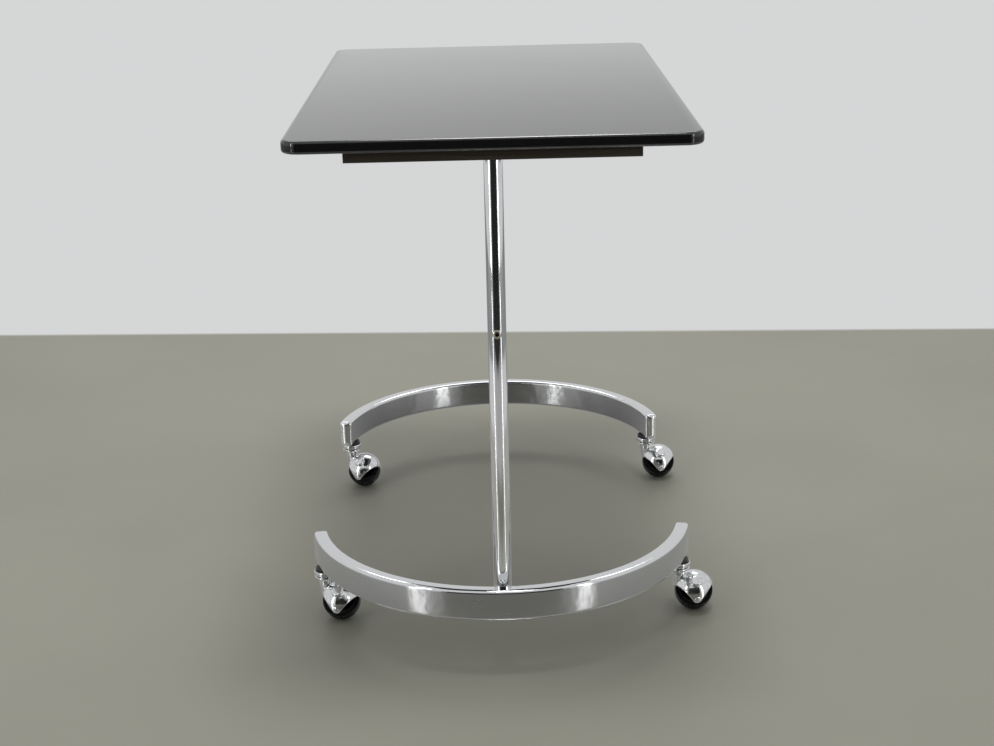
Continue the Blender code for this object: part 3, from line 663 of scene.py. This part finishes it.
class TABLE_OT_posts(bpy.types.Operator):
    """The posts, the stretcher between them and its two screws."""
    bl_idname = "table.posts"
    bl_label = "Posts and stretcher"

    def execute(self, context):
        sizes = context.scene.table_sizes
        finish = chrome_finish("post_chrome", context.scene.table_colours.chrome[:], 0.05, 14.0)
        steel = screw_finish("screw_steel", context.scene.table_colours.steel[:])
        for end, sign in zip(ENDS, (-1, 1)):
            node = "post_" + end
            low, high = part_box(node)
            y = middle(node).y
            inner = POST_RADIUS - sizes.tube_wall
            section = [(POST_RADIUS, high[2]), (POST_RADIUS, low[2]), (inner, low[2]),
                       (inner, high[2])]
            post = turn("post_tube_" + end, softened(section, 0.4 * MM, 2, True), 96, True)
            move_into_mesh(post, Matrix.Translation((CENTRE_X, y, 0)))
            drill = cutter("drill", HOLE, -2 * POST_RADIUS, 2 * POST_RADIUS, 32)
            move_into_mesh(drill, sideways(CENTRE_X, y, SCREW_LEVEL, 1))
            carve(post, drill)
            smooth(post)
            hand_over(post, "root", node, finish)
            self.screw(end, sign, steel)
        self.stretcher(sizes, finish)
        for end in ENDS:
            redress("post_saddle_" + end, finish)
        return {"FINISHED"}

    def stretcher(self, sizes, finish):
        """The tube between the posts, coped round them."""
        low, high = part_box("stretcher")
        inner = STRETCHER_RADIUS - sizes.tube_wall
        section = [(STRETCHER_RADIUS, POST_REACH), (STRETCHER_RADIUS, -POST_REACH),
                   (inner, -POST_REACH), (inner, POST_REACH)]
        tube = turn("stretcher_tube", section, 80, True)
        move_into_mesh(tube, sideways(CENTRE_X, 0, (low[2] + high[2]) / 2, 1))
        for sign in (-1, 1):
            cope = cutter("cope", POST_RADIUS + 0.3 * MM, low[2] - MM, high[2] + MM, 96)
            move_into_mesh(cope, Matrix.Translation((CENTRE_X, sign * POST_REACH, 0)))
            carve(tube, cope)
        smooth(tube)
        hand_over(tube, "root", "stretcher", finish)

    def screw(self, end, sign, finish):
        """A button-head socket screw through a post into the stretcher."""
        node = "stretcher_screw_" + end
        length = span(node).y
        head_height = 3.3 * MM
        rise = 1.6 * MM
        shank = 3 * MM
        key = 4 * MM
        ball = (SCREW_HEAD ** 2 + rise ** 2) / (2 * rise)
        half = degrees(asin(SCREW_HEAD / ball))
        dome = arc(ball, 90, 90 - half, 10, (0, head_height - ball))
        profile = dome + [(SCREW_HEAD, 0.2 * MM), (SCREW_HEAD - 0.2 * MM, 0), (shank, 0),
                          (shank, head_height - length), (0, head_height - length)]
        profile[0] = (0, head_height)
        screw = turn("screw_" + end, profile, 48)
        carve(screw, cutter("socket", key / sqrt(3), head_height - 2 * MM, head_height + MM, 6))
        outer = POST_RADIUS + 0.3 * MM
        y = middle("post_" + end).y + sign * outer
        move_into_mesh(screw, sideways(CENTRE_X, y, SCREW_LEVEL, sign))
        smooth(screw)
        hand_over(screw, "root", node, finish)


class TABLE_OT_feet(bpy.types.Operator):
    """The two curved feet with their end caps."""
    bl_idname = "table.feet"
    bl_label = "Feet"

    def execute(self, context):
        sizes = context.scene.table_sizes
        colour = context.scene.table_colours.chrome[:]
        for end, sign in zip(ENDS, (-1, 1)):
            node = "foot_bar_" + end
            low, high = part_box(node)
            outermost = low[1] if sign < 0 else high[1]
            bend_y = outermost - sign * sizes.bend_radius
            finish = brushed_finish("brushed_chrome_" + end, colour, bend_y)
            bright = chrome_finish("cap_chrome_" + end, colour, 0.06, 50.0)
            bar = self.bar(sizes, "foot_tube_" + end)
            start = radians(90 * sign) - sizes.bend_half
            centre = Matrix.Translation((CENTRE_X, bend_y, (low[2] + high[2]) / 2))
            move_into_mesh(bar, centre @ Matrix.Rotation(start, 4, "Z"))
            for side in SIDES:
                place = middle(f"stem_{end}_{side}")
                drill = cutter("drill", HOLE, BAR_BOTTOM - MM, BAR_BOTTOM + 3 * MM, 32)
                move_into_mesh(drill, Matrix.Translation((place.x, place.y, 0)))
                carve(bar, drill)
            smooth(bar)
            hand_over(bar, "root", node, finish)
            for side, hand in zip(SIDES, (-1, 1)):
                turned = sign * (pi / 2 - hand * sizes.bend_half)
                outward = Matrix.Rotation(hand * sign * pi / 2, 4, "X")
                mid = sizes.bend_radius - sizes.bar_thickness / 2
                place = (centre @ Matrix.Rotation(turned, 4, "Z")
                         @ Matrix.Translation((mid, 0, 0)) @ outward)
                self.cap(sizes, f"{end}_{side}", place, bright)
        return {"FINISHED"}

    def section(self, sizes, name, lean):
        """The bar's rounded section as one face, level or upright."""
        deselect()
        bpy.ops.mesh.primitive_plane_add(size=1, rotation=(lean, 0, 0))
        piece = bpy.context.object
        piece.name = name
        piece.scale = (sizes.bar_thickness, BAR_HEIGHT, 1)
        bpy.ops.object.transform_apply(location=True, rotation=True, scale=True)
        with editing(piece):
            bpy.ops.mesh.select_mode(type="VERT")
            bpy.ops.mesh.select_all(action="SELECT")
            bpy.ops.mesh.bevel(offset=sizes.bar_corner, segments=8, profile=0.5,
                               affect="VERTICES")
        return piece

    def bar(self, sizes, name):
        """The section, spun along the bend and given its wall."""
        mid = sizes.bend_radius - sizes.bar_thickness / 2
        bar = self.section(sizes, name, pi / 2)
        with editing(bar):
            bpy.ops.mesh.select_all(action="SELECT")
            bpy.ops.mesh.delete(type="ONLY_FACE")
            bpy.ops.mesh.select_all(action="SELECT")
            bpy.ops.transform.translate(value=(mid, 0, 0))
            bpy.ops.mesh.spin(steps=144, angle=-2 * sizes.bend_half, center=(0, 0, 0),
                              axis=(0, 0, 1))
            join_points()
            face_outward()
        self.face_out(bar, mid)
        modify(bar, "SOLIDIFY", thickness=sizes.tube_wall, offset=-1, use_even_offset=True)
        return bar

    def face_out(self, bar, mid):
        """Turns the open tube's faces away from its own middle line."""
        inward = 0
        for face in bar.data.polygons:
            flat = Vector((face.center.x, face.center.y, 0))
            away = face.center - flat.normalized() * mid
            inward += 1 if away.dot(face.normal) < 0 else -1
        if inward > 0:
            with editing(bar):
                bpy.ops.mesh.select_all(action="SELECT")
                bpy.ops.mesh.flip_normals()

    def cap(self, sizes, tag, place, finish):
        """A round-nosed cap on one end of a bar, with its spigot."""
        node = "foot_cap_" + tag
        gap = 0.3 * MM
        lip = 0.9 * MM
        nose = 6 * MM
        nose_end = 84
        drop = 8 * MM / (BAR_HEIGHT / 2)
        steps = 14
        play = 0.8 * MM
        spigot = 8 * MM
        cap = self.section(sizes, "bar_cap_" + tag, 0)
        with editing(cap):
            bpy.ops.mesh.select_all(action="SELECT")
            bpy.ops.transform.translate(value=(0, 0, gap))
            width, height, depth = 1, 1, gap
            for step in range(steps + 1):
                turned = radians(nose_end * step / steps)
                next_width = cos(turned)
                next_height = 1 - (1 - cos(turned)) * drop
                next_depth = lip + (nose - lip) * sin(turned)
                bpy.ops.mesh.extrude_region_move(
                    TRANSFORM_OT_translate={"value": (0, 0, next_depth - depth)})
                bpy.ops.transform.resize(value=(next_width / width, next_height / height, 1),
                                         center_override=(0, 0, 0))
                width, height, depth = next_width, next_height, next_depth
            pick(cap, "FACE", lambda f: centre_of(f).z < gap + MERGE)
            bpy.ops.mesh.inset(thickness=sizes.tube_wall + play)
            bpy.ops.mesh.extrude_region_move(TRANSFORM_OT_translate={"value": (0, 0, -spigot)})
            bpy.ops.transform.resize(value=(0.92, 0.97, 1), center_override=(0, 0, 0))
            face_outward()
        move_into_mesh(cap, place)
        smooth(cap)
        hand_over(cap, "root", node, finish)


class TABLE_OT_casters(bpy.types.Operator):
    """The four ball casters, each modelled from one set of pieces."""
    bl_idname = "table.casters"
    bl_label = "Casters"

    def execute(self, context):
        sizes = context.scene.table_sizes
        colours = context.scene.table_colours
        plate = worn_chrome_finish("caster_chrome", colours.chrome[:])
        rubber = rubber_finish("ball_rubber", colours.rubber[:])
        plastic = plastic_finish("black_plastic", colours.plastic[:])
        frames = self.frames()
        models = {
            "hood": self.hood(sizes, frames["front_left"]),
            "tyre": self.tyre(sizes),
            "wheel_hub": self.hub(sizes),
            "race_cup": self.race(),
            "washer": self.washer(),
        }
        looks = {"hood": (plate, "chrome"), "tyre": (rubber, "black_rubber"),
                 "wheel_hub": (plastic, "black_plastic"), "race_cup": (plate, "chrome"),
                 "washer": (plastic, "black_plastic")}
        for end, side in CORNERS:
            tag = f"{end}_{side}"
            swivel, rolling = frames[tag]
            stem = joint(f"caster_{tag}_swivel")["pos_m"]
            upright = Matrix.Translation((stem[0], stem[1], 0))
            homes = {"hood": (swivel, "caster_" + tag), "tyre": (rolling, "wheel_" + tag),
                     "wheel_hub": (rolling, "wheel_" + tag), "race_cup": (upright, "root"),
                     "washer": (upright, "root")}
            for kind, model in models.items():
                place, body = homes[kind]
                finish, slot = looks[kind]
                piece = copy_of(model, f"{kind}_shell_{tag}")
                move_into_mesh(piece, place)
                smooth(piece, 40 if kind == "hood" else 30)
                hand_over(piece, body, f"{kind}_{tag}", finish)
        for model in models.values():
            bpy.data.objects.remove(model)
        return {"FINISHED"}

    def frames(self):
        """For each caster, the place of its swivelling parts and of its ball."""
        result = {}
        for end, side in CORNERS:
            tag = f"{end}_{side}"
            stem = Vector(joint(f"caster_{tag}_swivel")["pos_m"])
            roll = joint(f"wheel_{tag}_roll")
            ball = Vector(roll["pos_m"])
            axle = Vector(roll["axis"]).normalized()
            trail = Vector((ball.x - stem.x, ball.y - stem.y, 0)).normalized()
            side_way = Vector((0, 0, 1)).cross(trail)
            swivel = Matrix((trail, side_way, (0, 0, 1))).transposed().to_4x4()
            swivel.translation = (stem.x, stem.y, 0)
            rolling = Matrix((trail, axle.cross(trail), axle)).transposed().to_4x4()
            rolling.translation = ball
            result[tag] = (swivel, rolling)
        return result

    def hood(self, sizes, places):
        """The hood in its own frame: the stem's axis at the origin, the ball behind it."""
        swivel, rolling = places
        ball = swivel.inverted() @ rolling
        inner = sizes.ball_radius + sizes.hood_gap
        outer = inner + sizes.hood_wall
        back = -4 * MM
        boss = 7.4 * MM
        boss_top = outer + 3.8 * MM
        pivot = 6 * MM
        pivot_end = 13 * MM
        blind_end = 24.8 * MM
        outline_lean = radians(16)
        rivet_turn = radians(51)
        rivet_radius = 2.8 * MM
        voxel = 0.56 * MM
        profile = [(0, boss_top), (boss - 1.8 * MM, boss_top), (boss - 0.6 * MM, boss_top - 0.3 * MM),
                   (boss, boss_top - 1.1 * MM)]
        profile += arc(outer, 90 - degrees(asin(boss / outer)), degrees(asin(back / outer)), 40)
        profile += arc(inner, degrees(asin(back / inner)), 90 - degrees(asin(pivot / inner)), 36)
        profile += [(pivot, pivot_end), (HOLE, pivot_end), (HOLE, blind_end), (0, blind_end)]
        shell = turn("hood", profile, 128)
        cut = self.outline(outer)
        move_into_mesh(cut, Matrix.Rotation(outline_lean, 4, "X"))
        carve(shell, cut, "INTERSECT")
        rivet = turn("rivet", [(0, outer + MM), (2.2 * MM, outer + 0.9 * MM),
                               (rivet_radius, outer + 0.3 * MM), (rivet_radius, outer - MM),
                               (0, outer - MM)], 32)
        move_into_mesh(rivet, Matrix.Rotation(rivet_turn, 4, "X"))
        carve(shell, rivet, "UNION")
        move_into_mesh(shell, ball)
        carve(shell, self.neck(sizes, ball), "UNION")
        carve(shell, cutter("socket", STEM_ROOM, 49.7 * MM, 70 * MM, 48))
        modify(shell, "REMESH", mode="VOXEL", voxel_size=voxel, use_smooth_shade=True)
        modify(shell, "SMOOTH", factor=0.5, iterations=4)
        return shell

    def outline(self, outer):
        """The hood's outline: two straight edges down to a round point."""
        edge = 51
        slope = radians(edge)
        tip = 20.2 * MM
        nose = 6.5 * MM
        half = 2 * outer
        crown = nose / cos(slope)
        rise = half * tan(slope) - tip + nose - crown
        points = arc(nose, -90 - edge, -90 + edge, 12, (0, nose - tip))
        points += [(half, rise), (half, rise + half), (-half, rise + half), (-half, rise)]
        deselect()
        bpy.ops.mesh.primitive_plane_add(size=MM)
        tool = bpy.context.object
        with editing(tool):
            trace([(x, y, -2 * outer) for x, y in points])
            bpy.ops.mesh.edge_face_add()
            bpy.ops.mesh.extrude_region_move(
                TRANSFORM_OT_translate={"value": (0, 0, 4 * outer)})
            face_outward()
        return tool

    def neck(self, sizes, ball):
        """The neck and its flange, hollowed to clear the ball."""
        flange, flange_top, flange_under = 14.5 * MM, 60.6 * MM, 57.8 * MM
        waist, waist_height = 9.3 * MM, 50 * MM
        foot, foot_height = 6.2 * MM, 33 * MM
        profile = [(0, flange_top), (flange, flange_top), (flange, flange_under),
                   (11.5 * MM, 57.6 * MM), (9.5 * MM, 55.8 * MM), (waist, waist_height),
                   (foot, foot_height), (0, foot_height)]
        neck = turn("neck", softened(profile, 1.1 * MM, 4), 64)
        clear = sizes.ball_radius + sizes.hood_gap + sizes.hood_wall / 3
        deselect()
        bpy.ops.mesh.primitive_uv_sphere_add(segments=96, ring_count=48, radius=clear)
        room = bpy.context.object
        move_into_mesh(room, ball)
        carve(neck, room)
        return neck

    def tyre(self, sizes):
        """The rubber tread, a zone of the ball."""
        radius = sizes.ball_radius
        wall = 4 * MM
        zone = arc(radius, TREAD_RIM, -AXLE_TILT, 26) + arc(radius, -AXLE_TILT, TREAD_END, 8)[1:]
        inside = arc(radius - wall, TREAD_END, TREAD_RIM, 12)
        rims = softened([zone[-1], inside[0]], 0.2 * MM)
        return turn("tyre", zone + rims[1:-1] + inside, 96, True)

    def hub(self, sizes):
        """The dished wheel inside the tread."""
        dish = sizes.ball_radius - 4.3 * MM
        inner = dish - 2.5 * MM
        face = dish * sin(radians(-TREAD_END))
        web = face - 3.5 * MM
        groove = 0.8 * MM
        boss, boss_end = 6.5 * MM, 12.7 * MM
        profile = arc(dish, TREAD_RIM, TREAD_END, 24)
        profile += [(9.5 * MM, -face), (8.5 * MM, groove - face), (7.2 * MM, groove - face),
                    (6.6 * MM, -face), (HOLE, -face), (HOLE, boss_end), (boss, boss_end),
                    (boss, -web)]
        profile += arc(inner, -degrees(asin(web / inner)), TREAD_RIM, 16)
        return turn("wheel_hub", profile, 96, True)

    def race(self):
        """The chrome cup over the hood's flange, its rim round the foot of the washer."""
        low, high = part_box("race_cup_front_left")
        rim = high[2] + 1.5 * MM
        cup, recess = 15.2 * MM, 12.9 * MM
        profile = [(13.2 * MM, rim - 0.4 * MM), (14.4 * MM, rim), (15.1 * MM, rim - MM),
                   (cup, low[2] + 1.4 * MM), (14 * MM, low[2]), (STEM_ROOM, low[2]),
                   (STEM_ROOM, high[2]), (recess, high[2])]
        return turn("race_cup", softened(profile, 0.5 * MM, 4, True), 72, True)

    def washer(self):
        """The dark washer between the race cup and the bar."""
        low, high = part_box("washer_front_left")
        rim = 12.4 * MM
        profile = [(rim, high[2]), (rim, low[2]), (HOLE, low[2]), (HOLE, high[2])]
        return turn("washer", softened(profile, 0.5 * MM, 3, True), 64, True)


class TABLE_OT_hardware(bpy.types.Operator):
    """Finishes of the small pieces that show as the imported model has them."""
    bl_idname = "table.hardware"
    bl_label = "Hardware"

    def execute(self, context):
        colours = context.scene.table_colours
        zinc = zinc_finish("zinc_plate", colours.zinc[:])
        plastic = plastic_finish("plug_plastic", colours.plastic[:])
        for name in frame["nodes"]:
            if name.startswith(("post_insert", "stretcher_insert", "post_screw", "rail_screw",
                                "stem_", "axle_")):
                redress(name, zinc)
            elif name.startswith("post_plug"):
                redress(name, plastic)
        return {"FINISHED"}


class TABLE_OT_stage(bpy.types.Operator):
    """Floor, surroundings, lamps and camera."""
    bl_idname = "table.stage"
    bl_label = "Stage"

    def execute(self, context):
        colours = context.scene.table_colours
        self.floor(colours)
        self.cards(colours)
        self.surroundings(colours)
        self.lamps()
        self.camera()
        context.scene.view_settings.view_transform = "Standard"
        return {"FINISHED"}

    def sheet(self, name, reach, height):
        """A level square sheet with its finish."""
        deselect()
        bpy.ops.mesh.primitive_plane_add(size=2 * reach, location=(0, 0, 0))
        sheet = bpy.context.object
        sheet.name = name
        move_into_mesh(sheet, Matrix.Translation((0, 0, height)))
        look = Finish(name)
        sheet.data.materials.append(look.material)
        return sheet, look

    def fade(self, look, amount):
        """Lets the sheet disappear where amount is 1."""
        clear = look.tree.nodes.new("ShaderNodeBsdfTransparent")
        mixer = look.tree.nodes.new("ShaderNodeMixShader")
        connect(look.tree, amount, mixer.inputs[0])
        look.tree.links.new(look.shader.outputs[0], mixer.inputs[1])
        look.tree.links.new(clear.outputs[0], mixer.inputs[2])
        look.tree.links.new(mixer.outputs[0], look.tree.nodes["Material Output"].inputs[0])

    def floor(self, colours):
        """A plain floor with a straight far edge; its other sides fade out."""
        _, look = self.sheet("floor", reach=2.0, height=0)
        x, y, _ = look.axes()
        cloud = look.noise(look.place(), scale=2.2, detail=4)
        tint = look.mix(look.between(cloud, 0.3, 0.7), colours.floor[:],
                        shaded(colours.floor, 0.94))
        look.set(Base_Color=tint, Roughness=0.5, Specular_IOR_Level=0.2)
        slant = 0.063
        far_edge = look.between(y + x * slant, 1.085, 1.105)
        side = x.math("ABSOLUTE").math("MAXIMUM", y * -1)
        self.fade(look, far_edge.math("MAXIMUM", look.between(side, 1.42, 1.56)))

    def cards(self, colours):
        """Dark cards, and the floor's polish, which only show in what is glossy."""
        ground, look = self.sheet("dark_ground", reach=5.0, height=-0.01)
        look.set(Base_Color=colours.card[:], Roughness=0.9, Specular_IOR_Level=0.1)
        ground.visible_camera = False
        self.upright_card(look.material)
        polish, look = self.sheet("floor_polish", reach=5.0, height=0.004)
        x, y, _ = look.axes()
        # Distance from the middle, as rings that are nearly square
        away = (x ** 4 + y ** 4) ** 0.25
        pale = look.between(away, 0.72, 0.90)
        dark = look.between(away, 1.35, 1.60)
        tint = look.mix(dark, look.mix(pale, colours.floor[:], colours.glare[:]),
                        colours.card[:])
        # Painted shade: towards the back the polish is darker, which darkens what the plating mirrors
        # there
        behind = look.between(y, 0.15, 0.45)
        tint = look.mix(behind, tint, shaded(colours.floor, 0.25))
        look.set(Base_Color=tint, Roughness=behind * 0.45 + 0.14, IOR=3.2)
        self.fade(look, look.node("NewGeometry", "Backfacing"))
        polish.visible_camera = False
        polish.visible_diffuse = False
        polish.visible_shadow = False

    def upright_card(self, material):
        """A dark card behind the camera."""
        deselect()
        bpy.ops.mesh.primitive_plane_add(size=1)
        card = bpy.context.object
        card.name = "dark_card"
        width, height = 4.4, 2.2
        move_into_mesh(card, Matrix.Translation((0, -3.4, height / 2))
                       @ Matrix.Rotation(pi / 2, 4, "X") @ Matrix.Diagonal((width, height, 1, 1)))
        card.data.materials.append(material)
        card.visible_camera = False

    def surroundings(self, colours):
        """Plain pale surroundings, a little brighter to the eye and in the plating."""
        world = bpy.data.worlds.new("studio")
        bpy.context.scene.world = world
        world.use_nodes = True
        tree = world.node_tree
        shade = tree.nodes["Background"]
        shade.inputs["Color"].default_value = (*colours.backdrop, 1)
        path = tree.nodes.new("ShaderNodeLightPath")
        seen = Socket(tree, path.outputs["Is Camera Ray"])
        for name in ("Is Glossy Ray", "Is Transmission Ray"):
            seen = seen.math("MAXIMUM", Socket(tree, path.outputs[name]))
        light, extra = 0.70, 0.20
        connect(tree, seen * extra + light, shade.inputs["Strength"])

    def lamps(self):
        """Two tall soft lamps beside the camera, one overhead and a long one behind."""
        target = Vector((0, 0, 0.3))
        for name, place, size, watts in (
                ("window_left", (-3.1, -2.8, 1.6), (0.30, 3.1), 20),
                ("window_right", (3.5, -3.4, 1.6), (0.34, 3.1), 23),
                ("overhead", (0.1, -0.2, 3.6), (0.9, 0.9), 46),
                ("behind", (0, 2.4, 3.0), (2.8, 0.9), 24)):
            deselect()
            bpy.ops.object.light_add(type="AREA", location=place)
            lamp = bpy.context.object
            lamp.name = name
            lamp.data.shape = "RECTANGLE"
            lamp.data.size, lamp.data.size_y = size
            lamp.data.energy = watts
            aim = target - lamp.location
            lamp.rotation_euler = aim.to_track_quat("-Z", "Y").to_euler()

    def camera(self):
        """The photograph's viewpoint."""
        pitch, yaw, roll = 0.3034, 0.0014, -0.0237
        sensor = 36
        focal, frame_width = 1768, 994      # both in pixels of the photograph
        forward_level = Vector((sin(yaw), cos(yaw), 0))
        right_level = Vector((cos(yaw), -sin(yaw), 0))
        up_level = Vector((0, 0, 1))
        forward = forward_level * cos(pitch) - up_level * sin(pitch)
        up = up_level * cos(pitch) + forward_level * sin(pitch)
        right = right_level * cos(roll) + up * sin(roll)
        top = up * cos(roll) - right_level * sin(roll)
        deselect()
        bpy.ops.object.camera_add()
        camera = bpy.context.object
        matrix = Matrix((right, top, -forward)).transposed().to_4x4()
        matrix.translation = (CENTRE_X - 0.0039, -2.386, 1.002)
        camera.matrix_world = matrix
        camera.data.sensor_fit = "HORIZONTAL"
        camera.data.sensor_width = sensor
        camera.data.lens = focal * sensor / frame_width
        bpy.context.scene.camera = camera


class TABLE_PT_panel(bpy.types.Panel):
    """Lists the pieces."""
    bl_idname = "TABLE_PT_panel"
    bl_label = "Rolling side table"
    bl_space_type = "VIEW_3D"
    bl_region_type = "UI"
    bl_category = "Table"

    def draw(self, context):
        for step in STEPS:
            self.layout.operator(step.bl_idname)
        for group in (context.scene.table_sizes, context.scene.table_colours):
            for key in group.__annotations__:
                self.layout.prop(group, key)


STEPS = (TABLE_OT_stage, TABLE_OT_top, TABLE_OT_rails, TABLE_OT_posts, TABLE_OT_feet,
         TABLE_OT_casters, TABLE_OT_hardware)
CLASSES = (TableSizes, TableColours, *STEPS, TABLE_PT_panel)


def register():
    """Makes the sizes, colours, operators and panel known."""
    for entry in CLASSES:
        bpy.utils.register_class(entry)
    bpy.types.Scene.table_sizes = bpy.props.PointerProperty(type=TableSizes)
    bpy.types.Scene.table_colours = bpy.props.PointerProperty(type=TableColours)


def unregister():
    """Undoes register."""
    del bpy.types.Scene.table_colours
    del bpy.types.Scene.table_sizes
    for entry in reversed(CLASSES):
        bpy.utils.unregister_class(entry)


def main():
    """Builds everything in order."""
    register()
    for step in STEPS:
        group, name = step.bl_idname.split(".")
        getattr(getattr(bpy.ops, group), name)()


if __name__ == "__main__":
    main()
